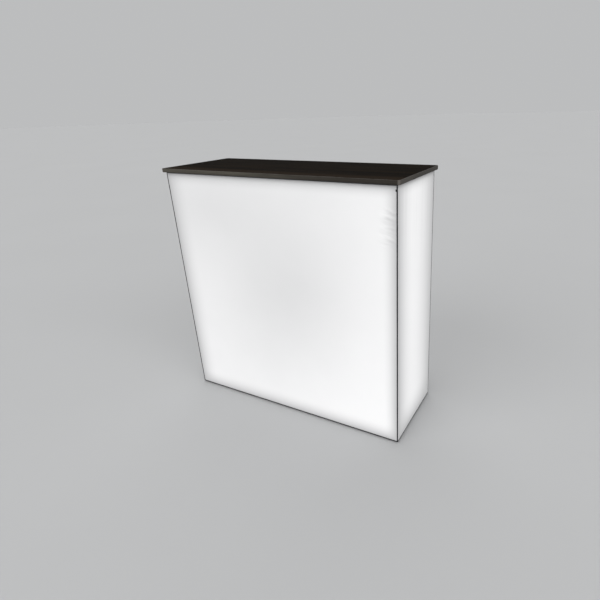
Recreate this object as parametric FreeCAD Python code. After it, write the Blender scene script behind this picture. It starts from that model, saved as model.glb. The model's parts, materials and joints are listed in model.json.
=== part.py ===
"""Illuminated counter: a fabric light box on an extruded frame, with a lift-off worktop.

Millimetres, +Z up. The origin is on the floor, under the middle of the counter.
+X runs along the front, +Y from the front to the rear.
"""
import FreeCAD, Part
import math
import os

V = FreeCAD.Vector
X, Y, Z = V(1, 0, 0), V(0, 1, 0), V(0, 0, 1)
ROOT2 = math.sqrt(2)

# Driving dimensions
overall_height = 1000.0
frame_width = 1000.0
frame_depth = 350.0
worktop_thickness = 15.0
worktop_overhang = 12.0
floor_gap = 5.0
service_opening = 55.0

# Fits
overrun = 1.0
seam = 0.1
running_fit = 0.05
slip_fit = 0.25

# Small round pieces and their holes are prisms with few sides
fastener_sides = 6
lead_sides = 8
round_sides = 12

# Frame profile, measured inwards from its outer corner
profile = 40.0
lip = 3.0
groove_width = 4.0
groove_depth = 18.0
fabric_recess = 0.6
face_wall = 2.5
inner_wall = 2.0
chamber = 13.0
lamp_seat = 17.0

# Stretched fabric and its edge strips
fabric_thickness = 0.5
fabric_tuck = 15.0
bead_thickness = 3.0
bead_width = 13.0
bead_cover = 3.0
edge_setback = 22.0
tab_width = 7.0
tab_reach = 6.0
tab_drop = 15.0

# Corner blocks and their grub screws
arm_length = 95.0
arm_chamfer = 1.5
grub_offset = 70.0
grub_radius = 3.0
grub_length = 9.0
key_hole_radius = 3.5

# Levelling feet
pad_radius = 14.0
pad_chamfer = 1.0
pad_gap = 0.3
pad_socket = 3.0
stud_radius = 4.0
stud_length = 40.0
clear_hole = 1.0

# Worktop
edging = 2.0
worktop_corner = 8.0
arris = 1.0
peg_radius = 4.0
peg_length = 32.0
peg_chamfer = 1.5
peg_shank_radius = 3.0
peg_shank = 10.0

# Base panel
base_thickness = 4.0
base_margin = 10.0
screw_head_radius = 3.6
screw_head = 2.2
screw_radius = 1.75
screw_length = 9.0
base_screw_count = 4
screw_line = 18.0

# Rear service strip
sheet = 2.0
panel_inset = 1.0
angle_leg = 9.0
bracket_leg = 26.0
bracket_width = 18.0
panel_screw_count = 4
vent_count = 12
vent_pitch = 8.0
vent_width = 3.0
vent_height = 24.0
vent_inset = 200.0

# Mains inlet with rocker switch
inlet_inset = 180.0
inlet_flange_width = 62.0
inlet_flange_height = 34.0
inlet_flange = 2.5
inlet_body_width = 56.0
inlet_body_height = 28.0
inlet_body_depth = 26.0
socket_width = 24.0
socket_height = 16.0
socket_depth = 16.5
socket_chamfer = 4.5
socket_shift = -13.0
pin_width = 2.0
pin_height = 4.0
pin_recess = 3.5
pin_root = 5.0
pin_spread = 7.0
pin_drop = 1.5
earth_rise = 2.5
rocker_shift = 15.0
rocker_radius = 11.0
rocker_width = 13.0
rocker_pivot = 4.0
rocker_proud = 2.5
rocker_valley = 1.8
rocker_back = 3.5
rocker_tilt = 8.0
trunnion_radius = 1.5
trunnion_length = 2.0
rocker_gap = 0.3

# Lamp driver
driver_length = 200.0
driver_width = 60.0
driver_height = 36.0
driver_centre = 60.0
driver_rib_count = 9
rib_width = 2.5
rib_depth = 3.0
cap_thickness = 6.0
cap_margin = 1.5
cap_screw_inset = 6.0

# Light bars
bar_width = 14.0
bar_base = 1.5
bar_lip = 1.2
bar_lip_height = 3.4
board_thickness = 1.6
lens_side = 9.0
lens_top = 6.0
lens_height = 3.5
lens_margin = 30.0
post_lens_count = 9
base_lens_count = 10
connector_width = 9.0
connector_length = 10.0
connector_height = 5.0
bar_end_gap = 38.0
post_bar_rise = 44.0
base_bar_gap = 8.0

# Wiring
mains_radius = 3.5
lead_radius = 2.0
lead_rest = 0.3
clip_width = 12.0
clip_length = 8.0
clip_wall = 1.5
clip_share = 0.33
arc_share = 0.45
quarter_turn_count = 5

# Levels and places that follow from the dimensions above
z_bottom = floor_gap
z_top = overall_height - worktop_thickness
half_width = frame_width / 2
half_depth = frame_depth / 2
groove_run = groove_depth / ROOT2
groove_across = groove_width / ROOT2
mouth_end = lip + groove_width * ROOT2
groove_floor = lip + 2 * groove_run
chamber_start = (groove_floor + inner_wall * ROOT2) / 2
chamber_end = chamber_start + chamber
arm_axis = (chamber_start + chamber_end) / 2
seat_end = profile - lamp_seat / ROOT2
seat_line = profile + seat_end
seat_middle = seat_line / 2
base_level = z_bottom + profile
base_top = base_level + base_thickness
service_level = base_level + service_opening
fabric_edge = lip + seam * ROOT2
inlet_centre = half_width - inlet_inset
inlet_level = (base_top + service_level) / 2


def save(name, *solids):
    """Writes one node; several solids become a group."""
    shape = solids[0] if len(solids) == 1 else Part.makeCompound(list(solids))
    shape.exportStep("parts/" + name + ".step")


def block(x0, x1, y0, y1, z0, z1):
    return Part.makeBox(x1 - x0, y1 - y0, z1 - z0, V(x0, y0, z0))


def flat(points):
    """A planar face through points in space."""
    return Part.Face(Part.makePolygon(list(points) + [points[0]]))


def strip(section, corner, u_dir, v_dir, run, hollows=()):
    """A section in (u, v), laid out from a corner and extruded along run."""
    def face(outline):
        return flat([corner + u_dir * u + v_dir * v for u, v in outline])

    area = face(section)
    if hollows:
        area = area.cut([face(hollow) for hollow in hollows])
        area = area.Faces[0]
    solid = area.extrude(run)
    if solid.Volume < 0:
        solid.reverse()
    return solid


def cylinder(start, direction, radius, length):
    return Part.makeCylinder(radius, length, start, direction)


def ring(centre, direction, radius, sides):
    """The corners of a polygon square to direction, with a corner towards a fixed side."""
    side = X if abs(direction.z) > 1 / 2 else Z
    side = (side - direction * side.dot(direction)).normalize()
    other = direction.cross(side)
    turns = [2 * math.pi * k / sides for k in range(sides)]
    return [centre + side * (radius * math.cos(t)) + other * (radius * math.sin(t)) for t in turns]


def rod(start, direction, radius, length, sides=fastener_sides):
    return flat(ring(start, direction, radius, sides)).extrude(direction * length)


def stack(rings):
    """A closed solid with flat faces between rings of as many points each."""
    faces = [flat(rings[0]), flat(rings[-1])]
    for lower, upper in zip(rings, rings[1:]):
        for k in range(len(lower)):
            faces.append(flat([lower[k - 1], lower[k], upper[k], upper[k - 1]]))
    solid = Part.makeSolid(Part.makeShell(faces))
    if solid.Volume < 0:
        solid.reverse()
    return solid


def turned(foot, levels):
    """An upright turning through (height, radius), made of flat faces."""
    return stack([ring(foot + Z * height, Z, radius, round_sides) for height, radius in levels])


# Frame profile


def profile_outline():
    """The section, from the outer corner; it mirrors about its diagonal."""
    half = [
        (lip, 0),
        (lip + groove_run, groove_run),
        (lip + groove_run + groove_across, groove_run - groove_across),
        (mouth_end + fabric_recess, fabric_recess),
        (profile, fabric_recess),
        (profile, seat_end),
    ]
    return [(0, 0)] + half + [(v, u) for u, v in reversed(half)]


def profile_hollows():
    """The square chamber of the corner blocks, and a hollow behind each face."""
    square = [
        (chamber_start, chamber_start),
        (chamber_end, chamber_start),
        (chamber_end, chamber_end),
        (chamber_start, chamber_end),
    ]
    skin = fabric_recess + face_wall
    far = profile - face_wall
    tube = chamber_end + inner_wall
    seat_back = seat_line - face_wall * ROOT2
    web = inner_wall / ROOT2
    channel = groove_floor + inner_wall * ROOT2
    under = chamber_start - inner_wall
    pocket = [
        (mouth_end + inner_wall * ROOT2 + skin, skin),
        (far, skin),
        (far, seat_back - far),
        ((seat_back + web) / 2, (seat_back - web) / 2),
        (tube, tube - web),
        (tube, under),
        (channel - under, under),
        (lip + groove_run + groove_across + inner_wall * ROOT2, groove_run - groove_across),
    ]
    return [square, pocket, [(v, u) for u, v in pocket]]


def mitre_cutters(corner, along, a, b):
    """Prisms that leave only what lies nearer to this member than to its two neighbours."""
    reach = profile + overrun
    wedge = [
        (-overrun, -reach),
        (reach, -reach),
        (reach, reach + seam / 2),
        (-overrun, seam / 2 - overrun),
    ]
    across = reach + overrun
    return [
        strip(wedge, corner - b * overrun, a, along, b * across),
        strip(wedge, corner - a * overrun, b, along, a * across),
    ]


def grub_axes(corner, a, b, run):
    """The start and direction of the two grub screws of a member, on the chamber's far wall."""
    along = V(run).normalize()
    ends = (grub_offset, run.Length - grub_offset)
    return [(corner + a * chamber_start + b * arm_axis + along * end, a) for end in ends]


def profile_member(corner, a, b, run):
    """A member between two corners of the frame, mitred three ways at both ends."""
    along = V(run).normalize()
    solid = strip(profile_outline(), corner, a, b, run, profile_hollows())
    cutters = mitre_cutters(corner, along, a, b) + mitre_cutters(corner + run, along * -1, a, b)
    middle = a * (chamber / 2)
    key_holes = [rod(p + middle, d, key_hole_radius, profile) for p, d in grub_axes(corner, a, b, run)]
    return solid.cut(cutters + key_holes)


def frame_members():
    """Name, outer corner, inward directions and run of the twelve members."""
    members = []
    sides = {"left": -1, "right": 1}
    depths = {"front": -1, "rear": 1}
    levels = {"bottom": (z_bottom, Z), "top": (z_top, Z * -1)}
    height = z_top - z_bottom
    for side, sx in sides.items():
        for depth, sy in depths.items():
            corner = V(sx * half_width, sy * half_depth, z_bottom)
            members.append((f"post_{depth}_{side}", corner, X * -sx, Y * -sy, Z * height))
    for level, (z, inward) in levels.items():
        for depth, sy in depths.items():
            corner = V(-half_width, sy * half_depth, z)
            members.append((f"{level}_rail_{depth}", corner, Y * -sy, inward, X * frame_width))
        for side, sx in sides.items():
            corner = V(sx * half_width, -half_depth, z)
            members.append((f"{level}_rail_{side}", corner, X * -sx, inward, Y * frame_depth))
    return members


def corner_signs():
    return [(sx, sy) for sy in (-1, 1) for sx in (-1, 1)]


def corner_name(sx, sy):
    return ("front" if sy < 0 else "rear") + "_" + ("left" if sx < 0 else "right")


def corner_axis(sx, sy, z):
    """The point at level z on the upright axis of a corner's blocks, peg and foot."""
    return V(sx * (half_width - arm_axis), sy * (half_depth - arm_axis), z)


def corner_block(sx, sy, z, up):
    """Three square arms that meet in a cube, one in each member's chamber."""
    near, far = chamber_start + slip_fit, chamber_end - slip_fit
    corner = V(sx * half_width, sy * half_depth, z)
    inward = [X * -sx, Y * -sy, up]
    arms = []
    for k in range(3):
        a, b, along = inward[k - 2], inward[k - 1], inward[k]
        square = [(near, near), (far, near), (far, far), (near, far)]
        arm = strip(square, corner + along * near, a, b, along * (arm_length - near))
        tip = arm_length + corner.dot(along)
        edges = [e for e in arm.Edges if all(abs(v.Point.dot(along) - tip) < seam for v in e.Vertexes)]
        arms.append(arm.makeChamfer(arm_chamfer, edges))
    return arms[0].fuse(arms[1:]).removeSplitter()


def make_frame():
    """Members, corner blocks and grub screws; the blocks and members share their holes."""
    members = frame_members()
    through = profile / 2 + overrun
    uprights = [
        rod(corner_axis(sx, sy, z - overrun), Z, radius + clear_hole, through)
        for sx, sy in corner_signs()
        for z, radius in ((z_bottom, stud_radius), (z_top - profile / 2 + overrun, peg_radius))
    ]
    pilots = [
        rod(point - Z * screw_length, Z, screw_radius + seam, screw_length + overrun)
        for point in base_screw_points()
    ]
    solids = {name: profile_member(*rest) for name, *rest in members}
    for name, solid in solids.items():
        if "rail" in name:
            solid = solid.cut(uprights + pilots)
        save(name, solid)

    grubs = []
    for _, *place in members:
        grubs += grub_axes(*place)
    save("grub_screws", *[rod(*grub, grub_radius, grub_length) for grub in grubs])
    threads = [rod(p - d * overrun, d, grub_radius + seam, profile) for p, d in grubs]
    stud_reach = pad_top() - pad_socket + stud_length - z_bottom + overrun
    stud_bores = [
        rod(corner_axis(sx, sy, z_bottom), Z, stud_radius + seam, stud_reach, round_sides)
        for sx, sy in corner_signs()
    ]
    peg_hole, peg_foot = peg_length + overrun, z_top - peg_length - overrun
    peg_bores = [
        rod(corner_axis(sx, sy, peg_foot), Z, peg_radius + slip_fit, peg_hole, round_sides)
        for sx, sy in corner_signs()
    ]
    lower = [corner_block(sx, sy, z_bottom, Z).cut(threads + stud_bores) for sx, sy in corner_signs()]
    upper = [corner_block(sx, sy, z_top, Z * -1).cut(threads + peg_bores) for sx, sy in corner_signs()]
    save("corner_blocks_bottom", *lower)
    save("corner_blocks_top", *upper)


# Levelling feet


def pad_top():
    return floor_gap - pad_gap


def make_feet():
    narrow = pad_radius - pad_chamfer
    upper = pad_top() - pad_chamfer
    levels = [(0, narrow), (pad_chamfer, pad_radius), (upper, pad_radius), (pad_top(), narrow)]
    for sx, sy in corner_signs():
        floor = corner_axis(sx, sy, pad_top() - pad_socket)
        pad = turned(corner_axis(sx, sy, 0), levels)
        pad = pad.cut(rod(floor, Z, stud_radius + seam, floor_gap, round_sides))
        stud = rod(floor, Z, stud_radius, stud_length, round_sides)
        save("foot_pad_" + corner_name(sx, sy), pad)
        save("foot_stud_" + corner_name(sx, sy), stud)


# Worktop


def rounded_slab(width, depth, radius, z0, z1):
    slab = block(-width / 2, width / 2, -depth / 2, depth / 2, z0, z1)
    uprights = [e for e in slab.Edges if abs(e.Vertexes[0].Z - e.Vertexes[-1].Z) > worktop_thickness / 2]
    return slab.makeFillet(radius, uprights)


def make_worktop():
    width = frame_width + 2 * worktop_overhang
    depth = frame_depth + 2 * worktop_overhang
    outer = rounded_slab(width, depth, worktop_corner, z_top, overall_height)
    rims = [e for e in outer.Edges if abs(e.Vertexes[0].Z - e.Vertexes[-1].Z) < seam]
    outer = outer.makeChamfer(arris, rims)
    inside = worktop_corner - edging
    low, high = z_top - overrun, overall_height + overrun
    cut = rounded_slab(width - 2 * edging, depth - 2 * edging, inside, low, high)
    save("worktop_edging", outer.cut(cut))
    shrink = 2 * (edging + running_fit)
    board = rounded_slab(width - shrink, depth - shrink, inside - running_fit, z_top, overall_height)
    holes, pegs = [], []
    for sx, sy in corner_signs():
        seat = corner_axis(sx, sy, z_top)
        holes.append(rod(seat - Z * overrun, Z, peg_shank_radius + seam, peg_shank + overrun))
        tip = (-peg_length, peg_radius - peg_chamfer)
        pin = turned(seat, [tip, (peg_chamfer - peg_length, peg_radius), (0, peg_radius)])
        pegs.append(pin.fuse(rod(seat, Z, peg_shank_radius, peg_shank)))
    save("worktop_board", board.cut(holes))
    save("worktop_pegs", *pegs)


# Stretched fabric

FACES = {
    "front": (X, Y, half_depth, frame_width),
    "right": (Y, X * -1, half_width, frame_depth),
    "rear": (X * -1, Y * -1, half_depth, frame_width),
    "left": (Y * -1, X, half_width, frame_depth),
}


def face_edges(side, low, high):
    """Corner, direction towards the middle of the face, run, and setback of its four edges.

    A lower edge above the frame's floor is held in a rail between the posts.
    """
    along, inward, distance, width = FACES[side]
    between = edge_setback if low == z_bottom else profile + slip_fit
    left = along * (-width / 2) - inward * distance
    right = along * (width / 2) - inward * distance
    rise = Z * (high - low)
    across = along * width
    return [
        (left + Z * low, along, rise, edge_setback),
        (right + Z * low, along * -1, rise, edge_setback),
        (left + Z * low, Z, across, between),
        (left + Z * high, Z * -1, across, edge_setback),
    ]


def tab_corner(side):
    """Where the pull tab leaves the upright groove, near the top of the face's right edge."""
    along, inward, distance, width = FACES[side]
    return along * (width / 2) - inward * distance + Z * (z_top - tab_drop - tab_width)


def fabric_sheet(side, low, high):
    """The flat of the fabric, its edges bevelled to the slope of the grooves."""
    along, inward, distance, width = FACES[side]

    def outline(shrink, depth):
        reach = width / 2 - shrink
        base = inward * (depth - distance)
        foot, head = low + shrink, high - shrink
        corners = [(-reach, foot), (reach, foot), (reach, head), (-reach, head)]
        return [base + along * x + Z * z for x, z in corners]

    return stack([outline(fabric_edge, 0), outline(fabric_edge + fabric_thickness, fabric_thickness)])


def make_fabric(side, low, high):
    inward = FACES[side][1]
    thick = fabric_thickness * ROOT2
    tuck = fabric_tuck / ROOT2
    flange = [
        (fabric_edge, 0),
        (fabric_edge + thick, 0),
        (fabric_edge + thick + tuck, tuck),
        (fabric_edge + tuck, tuck),
    ]
    first = fabric_edge + thick + seam * ROOT2
    slope = bead_width / ROOT2
    across = bead_thickness / ROOT2
    strip_section = [
        (first + bead_cover, bead_cover),
        (first + bead_cover + across, bead_cover - across),
        (first + bead_cover + across + slope, bead_cover - across + slope),
        (first + bead_cover + slope, bead_cover + slope),
    ]
    face = fabric_sheet(side, low, high)
    flanges, beads = [], []
    for corner, towards, run, setback in face_edges(side, low, high):
        back = V(run).normalize() * setback
        flanges.append(strip(flange, corner + back, towards, inward, run - back * 2))
        beads.append(strip(strip_section, corner + back, towards, inward, run - back * 2))
    fabric = face.fuse(flanges).removeSplitter()
    notch = [
        (lip - overrun, -overrun),
        (first - overrun, -overrun),
        (first + fabric_tuck, fabric_tuck),
        (lip + fabric_tuck, fabric_tuck),
    ]
    towards = FACES[side][0] * -1
    spot = tab_corner(side)
    gap = strip(notch, spot - Z * seam, towards, inward, Z * (tab_width + 2 * seam))
    save(side + "_fabric", fabric.cut(gap))
    save(side + "_beads", *beads)
    leg = fabric_thickness + seam
    tab = [
        (fabric_edge - leg, -leg),
        (fabric_edge + tab_reach, -leg),
        (fabric_edge + tab_reach, -seam),
        (fabric_edge + thick - seam, -seam),
        (fabric_edge + thick + slope, slope),
        (fabric_edge + slope, slope),
    ]
    return strip(tab, spot, towards, inward, Z * tab_width)


def make_fabrics():
    tabs = [make_fabric(side, service_level if side == "rear" else z_bottom, z_top) for side in FACES]
    save("pull_tabs", *tabs)


# Screws and the base panel


def screw(seat, direction):
    """A screw whose head bears on seat and whose shank runs along direction."""
    shank = rod(seat, direction, screw_radius, screw_length)
    return rod(seat - direction * screw_head, direction, screw_head_radius, screw_head).fuse(shank)


def spread(count, reach):
    """Places from -reach to reach, evenly spaced."""
    return [reach * (2 * k / (count - 1) - 1) for k in range(count)]


def base_screw_points():
    reach = half_width - profile - bar_end_gap
    line = half_depth - screw_line
    return [V(x, sy * line, base_level) for x in spread(base_screw_count, reach) for sy in (-1, 1)]


def make_base():
    reach_x, reach_y = half_width - base_margin, half_depth - base_margin
    panel = block(-reach_x, reach_x, -reach_y, reach_y, base_level, base_top)
    inner_x, inner_y = half_width - profile - seam, half_depth - profile - seam
    notches = []
    for sx, sy in corner_signs():
        xs, ys = sorted((sx * inner_x, sx * half_width)), sorted((sy * inner_y, sy * half_depth))
        notches.append(block(*xs, *ys, base_level - overrun, base_top + overrun))
    points = base_screw_points()
    holes = [rod(p - Z * overrun, Z, screw_radius + seam, base_thickness + 2 * overrun) for p in points]
    save("base_panel", panel.cut(notches + holes))
    save("base_panel_screws", *[screw(p + Z * base_thickness, Z * -1) for p in points])


# Rear service strip, laid out as seen from behind


def rear(x, depth, z):
    """A point of the rear face's own frame: x to the right, depth inwards."""
    return V(-x, half_depth - depth, z)


def rear_block(x0, x1, depth0, depth1, z0, z1):
    return block(-x1, -x0, half_depth - depth1, half_depth - depth0, z0, z1)


def panel_screw_points():
    reach = half_width - profile - bar_end_gap
    levels = (base_top + angle_leg / 2, service_level - angle_leg / 2)
    return [rear(x, panel_inset, z) for x in spread(panel_screw_count, reach) for z in levels]


def inlet_box(width, height, depth0, depth1, shift=0):
    centre = inlet_centre + shift
    low, high = inlet_level - height / 2, inlet_level + height / 2
    return rear_block(centre - width / 2, centre + width / 2, depth0, depth1, low, high)


def make_service_strip():
    inner = half_width - profile - seam
    corner = rear(inner, 0, service_level)
    rail = strip(profile_outline(), corner, Y * -1, Z, X * (2 * inner), profile_hollows())
    lamp_room = []
    for sx in (-1, 1):
        xs = sorted((sx * (half_width - lamp_reach() - slip_fit), sx * half_width))
        lamp_room.append(rear_block(*xs, lamp_shoulder() - slip_fit, profile + overrun, service_level, z_top))
    save("service_rail", rail.cut(lamp_room))

    top = service_level + profile
    brackets = []
    for sx in (-1, 1):
        post = half_width - profile
        depth0 = (seat_end - bracket_width) / 2 + fabric_recess
        section = [
            (0, 0),
            (bracket_leg, 0),
            (bracket_leg, sheet),
            (sheet, sheet),
            (sheet, bracket_leg),
            (0, bracket_leg),
        ]
        start = V(sx * post, half_depth - depth0 - bracket_width, top)
        brackets.append(strip(section, start, X * -sx, Z, Y * bracket_width))
    save("service_rail_brackets", *brackets)

    behind = panel_inset + sheet
    leg = [(0, 0), (angle_leg, 0), (angle_leg, sheet), (sheet, sheet), (sheet, angle_leg), (0, angle_leg)]
    run = X * (2 * inner)
    angles = [
        strip(leg, rear(inner, behind, base_top), Y * -1, Z, run),
        strip(leg, rear(inner, behind, service_level), Y * -1, Z * -1, run),
    ]
    screws = panel_screw_points()
    holes = [rod(p + Y * overrun, Y * -1, screw_radius + seam, screw_length + overrun) for p in screws]
    save("service_panel_angles", *[angle.cut(holes) for angle in angles])

    plate = rear_block(-inner, inner, panel_inset, behind, base_top, service_level)
    window = inlet_box(inlet_body_width + 2 * slip_fit, inlet_body_height + 2 * slip_fit, 0, profile)
    slots = []
    vent_low, vent_high = inlet_level - vent_height / 2, inlet_level + vent_height / 2
    for k in range(vent_count):
        x = vent_inset - half_width + (k - (vent_count - 1) / 2) * vent_pitch
        slots.append(rear_block(x - vent_width / 2, x + vent_width / 2, 0, profile, vent_low, vent_high))
    save("service_panel", plate.cut(holes + [window] + slots))
    save("service_panel_screws", *[screw(p, Y * -1) for p in screws])


def rocker_pivot_point():
    return rear(inlet_centre + rocker_shift, rocker_pivot, inlet_level)


def make_inlet():
    face = panel_inset - inlet_flange
    flange = inlet_box(inlet_flange_width, inlet_flange_height, face, panel_inset)
    behind = inlet_box(inlet_body_width, inlet_body_height, panel_inset, inlet_body_depth)
    body = flange.fuse(behind).removeSplitter()

    half_w, half_h = socket_width / 2, socket_height / 2
    outline = [
        (-half_w + socket_chamfer, -half_h),
        (half_w - socket_chamfer, -half_h),
        (half_w, -half_h + socket_chamfer),
        (half_w, half_h),
        (-half_w, half_h),
        (-half_w, -half_h + socket_chamfer),
    ]
    centre = rear(inlet_centre + socket_shift, face - overrun, inlet_level)
    socket = strip(outline, centre, X * -1, Z, Y * -(socket_depth + overrun))

    floor = face + socket_depth
    places = [(-pin_spread, -pin_drop), (pin_spread, -pin_drop), (0, earth_rise)]
    pins, slots = [], []
    for x, z in places:
        mid_x, mid_z = inlet_centre + socket_shift + x, inlet_level + z
        for store, grow in ((pins, 0), (slots, running_fit)):
            w, h = pin_width / 2 + grow, pin_height / 2 + grow
            store.append(
                rear_block(mid_x - w, mid_x + w, face + pin_recess, floor + pin_root, mid_z - h, mid_z + h)
            )

    pivot = rocker_pivot_point()
    window = rear_block(
        inlet_centre + rocker_shift - rocker_width / 2 - rocker_gap,
        inlet_centre + rocker_shift + rocker_width / 2 + rocker_gap,
        face - overrun,
        rocker_pivot + rocker_radius,
        inlet_level - rocker_radius - rocker_gap,
        inlet_level + rocker_radius + rocker_gap,
    )
    axle = rocker_width + 2 * trunnion_length
    inset = axle / 2 + running_fit
    bearing = cylinder(pivot - X * inset, X, trunnion_radius + running_fit, 2 * inset)
    save("inlet_housing", body.cut([socket, window, bearing] + slots))
    save("inlet_pins", *pins)

    drum = cylinder(pivot - X * (rocker_width / 2), X, rocker_radius, rocker_width)
    front, valley = face - rocker_proud, face - rocker_proud + rocker_valley
    wide = rocker_radius + overrun
    shape = [(front, -wide), (valley, 0), (front, wide), (rocker_pivot + rocker_back, wide)]
    shape.append((rocker_pivot + rocker_back, -wide))
    start = rear(inlet_centre + rocker_shift + rocker_width, 0, inlet_level)
    slab = strip(shape, start, Y * -1, Z, X * (2 * rocker_width))
    rocker = drum.common(slab).fuse(cylinder(pivot - X * (axle / 2), X, trunnion_radius, axle))
    rocker.rotate(pivot, X, rocker_tilt)
    save("rocker", rocker)


# Lamp driver on the base panel


def make_driver():
    x0, x1 = driver_centre - driver_length / 2, driver_centre + driver_length / 2
    y = driver_width / 2
    case = block(-x1, -x0, -y, y, base_top, base_top + driver_height)
    grooves = []
    gap = (driver_width - driver_rib_count * rib_width) / (driver_rib_count - 1)
    top = base_top + driver_height
    for k in range(driver_rib_count - 1):
        start = -y + rib_width + k * (rib_width + gap)
        xs = (-x1 - overrun, -x0 + overrun)
        grooves.append(block(*xs, start, start + gap, top - rib_depth, top + overrun))
    case = case.cut(grooves)
    lower = base_top + driver_height - rib_depth - cap_margin
    caps, screws, pilots = [], [], []
    for sign, x in ((1, x0), (-1, x1)):
        outer = -x + sign * cap_thickness
        reach = y + cap_margin
        cap = block(*sorted((-x, outer)), -reach, reach, base_top, lower)
        spots = [V(outer, s * (y - cap_screw_inset), base_top + cap_screw_inset) for s in (-1, 1)]
        holes = [rod(p, X * -sign, screw_radius + seam, screw_length + overrun) for p in spots]
        caps.append(cap.cut(holes))
        pilots += holes
        screws += [screw(p, X * -sign) for p in spots]
    save("driver_case", case.cut(pilots))
    save("driver_end_caps", *caps)
    save("driver_screws", *screws)


# Light bars


def lamp_reach():
    """How far a lamp on a post's seat reaches from each of the corner's faces."""
    return seat_middle + (connector_width / 2 + bar_base + board_thickness + connector_height) / ROOT2


def lamp_shoulder():
    """The nearest that the same lamp comes to each face."""
    return seat_middle - bar_width / 2 / ROOT2


def lens(foot, along, across, out):
    """A square optic that narrows towards its top."""
    rings = []
    for height, side in ((0, lens_side), (lens_height, lens_top)):
        centre, u, v = foot + out * height, along * (side / 2), across * (side / 2)
        rings.append([centre - u - v, centre + u - v, centre + u + v, centre - u + v])
    return stack(rings)


def light_bar(start, along, across, out, length, lenses, feeds):
    """A channel, its board with connectors, and its lenses, stacked along out."""
    w = bar_width / 2
    channel = [
        (-w, 0),
        (w, 0),
        (w, bar_lip_height),
        (w - bar_lip, bar_lip_height),
        (w - bar_lip, bar_base),
        (-w + bar_lip, bar_base),
        (-w + bar_lip, bar_lip_height),
        (-w, bar_lip_height),
    ]
    run = along * length
    carrier = strip(channel, start, across, out, run)
    b = w - bar_lip - slip_fit
    top = bar_base + board_thickness
    board = strip([(-b, bar_base), (b, bar_base), (b, top), (-b, top)], start, across, out, run)
    c = connector_width / 2
    plug = [(-c, top), (c, top), (c, top + connector_height), (-c, top + connector_height)]
    ends = [0, length - connector_length] + [f - connector_length / 2 for f in feeds]
    plugs = [strip(plug, start + along * at, across, out, along * connector_length) for at in ends]
    board = board.fuse(plugs)
    optics = []
    for place in spread(lenses, length / 2 - lens_margin):
        foot = start + along * (length / 2 + place) + out * top
        optics.append(lens(foot, along, across, out))
    return carrier, board, optics


def base_bar_line():
    """Distance of the base light bars from their face."""
    return profile + base_bar_gap


def base_bar_half():
    return half_width - profile - bar_end_gap


def feed_places():
    """The two feeds of a base bar, midway between lenses, from the counter's middle."""
    pitch = 2 * (base_bar_half() - lens_margin) / (base_lens_count - 1)
    return pitch, 3 * pitch


def make_light_bars():
    boards, lenses = [], []
    low, high = base_top + post_bar_rise, z_top - profile
    for sx, sy in corner_signs():
        out = V(-sx, -sy, 0).normalize()
        across = Z.cross(out)
        start = V(sx * (half_width - seat_middle), sy * (half_depth - seat_middle), low)
        carrier, board, optics = light_bar(start, Z, across, out, high - low, post_lens_count, [])
        save("light_bar_" + corner_name(sx, sy), carrier)
        boards.append(board)
        lenses += optics
    reach = base_bar_half()
    for name, sy in (("front", -1), ("rear", 1)):
        start = V(-reach, sy * (half_depth - base_bar_line()), base_top)
        feeds = [reach + place for place in feed_places()]
        carrier, board, optics = light_bar(start, X, Y, Z, 2 * reach, base_lens_count, feeds)
        save("light_bar_base_" + name, carrier)
        boards.append(board)
        lenses += optics
    save("led_boards", *boards)
    save("led_lenses", *lenses)


# Wiring


def lead(points, radius):
    """A tube with flat faces, along straight runs joined by tangent bends."""
    spokes = ring(V(), V(points[1] - points[0]).normalize(), radius, lead_sides)
    places = [(points[0], spokes)]
    for before, corner, after in zip(points, points[1:], points[2:]):
        into, away = corner - before, after - corner
        shorter = min(into.Length, away.Length) * arc_share
        into.normalize()
        turn = into.getAngle(away)
        axis = into.cross(away).normalize()
        bend = shorter / math.tan(turn / 2)
        first = corner - into * shorter
        centre = first + axis.cross(into) * bend
        count = math.ceil(turn / (math.pi / 2) * quarter_turn_count)
        for k in range(count + 1):
            spin = FreeCAD.Rotation(axis, math.degrees(turn) * k / count)
            turned_spokes = [spin.multVec(spoke) for spoke in spokes]
            places.append((centre + spin.multVec(first - centre), turned_spokes))
        spokes = turned_spokes
    places.append((points[-1], spokes))
    length = sum((b - a).Length for (a, _), (b, _) in zip(places, places[1:]))
    print(f"lead: length {length:.1f}, {len(places)} rings")
    return stack([[place + spoke for spoke in around] for place, around in places])


def lead_level():
    return base_top + bar_base + board_thickness + connector_height / 2


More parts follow.
